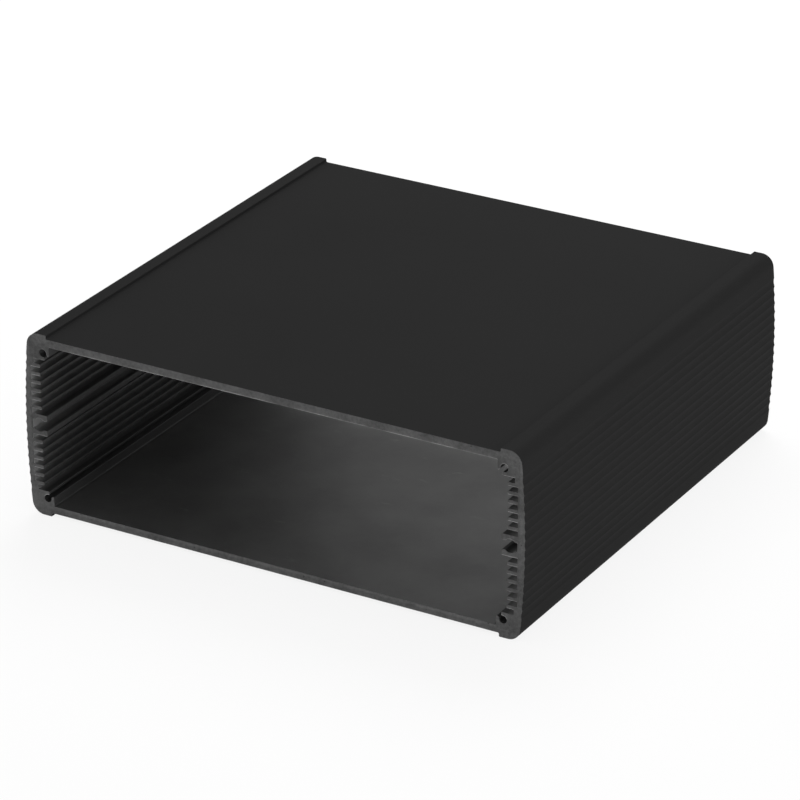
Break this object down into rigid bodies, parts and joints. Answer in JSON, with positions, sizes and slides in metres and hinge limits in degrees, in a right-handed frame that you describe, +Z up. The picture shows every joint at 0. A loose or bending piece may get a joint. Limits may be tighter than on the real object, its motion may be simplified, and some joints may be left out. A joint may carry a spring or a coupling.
{
  "type": "extruded aluminium enclosure body",
  "caption": "Open-ended black anodised aluminium enclosure body, with fluted bowed sides, board slots, side screw channels and corner screw ports.",
  "frame": {"origin": "under the middle of the body, on the plane that its lower rails rest on", "axes": "+X across the width, +Y along the extrusion towards the rear end, +Z up through the top panel"},
  "size_m": [0.168, 0.16, 0.059],
  "materials": {
    "anodised_body": "satin black anodised skin, dark grey sawn ends"
  },
  "bodies": {
    "root": {"enclosure_body": "anodised_body"}
  },
  "joints": []
}
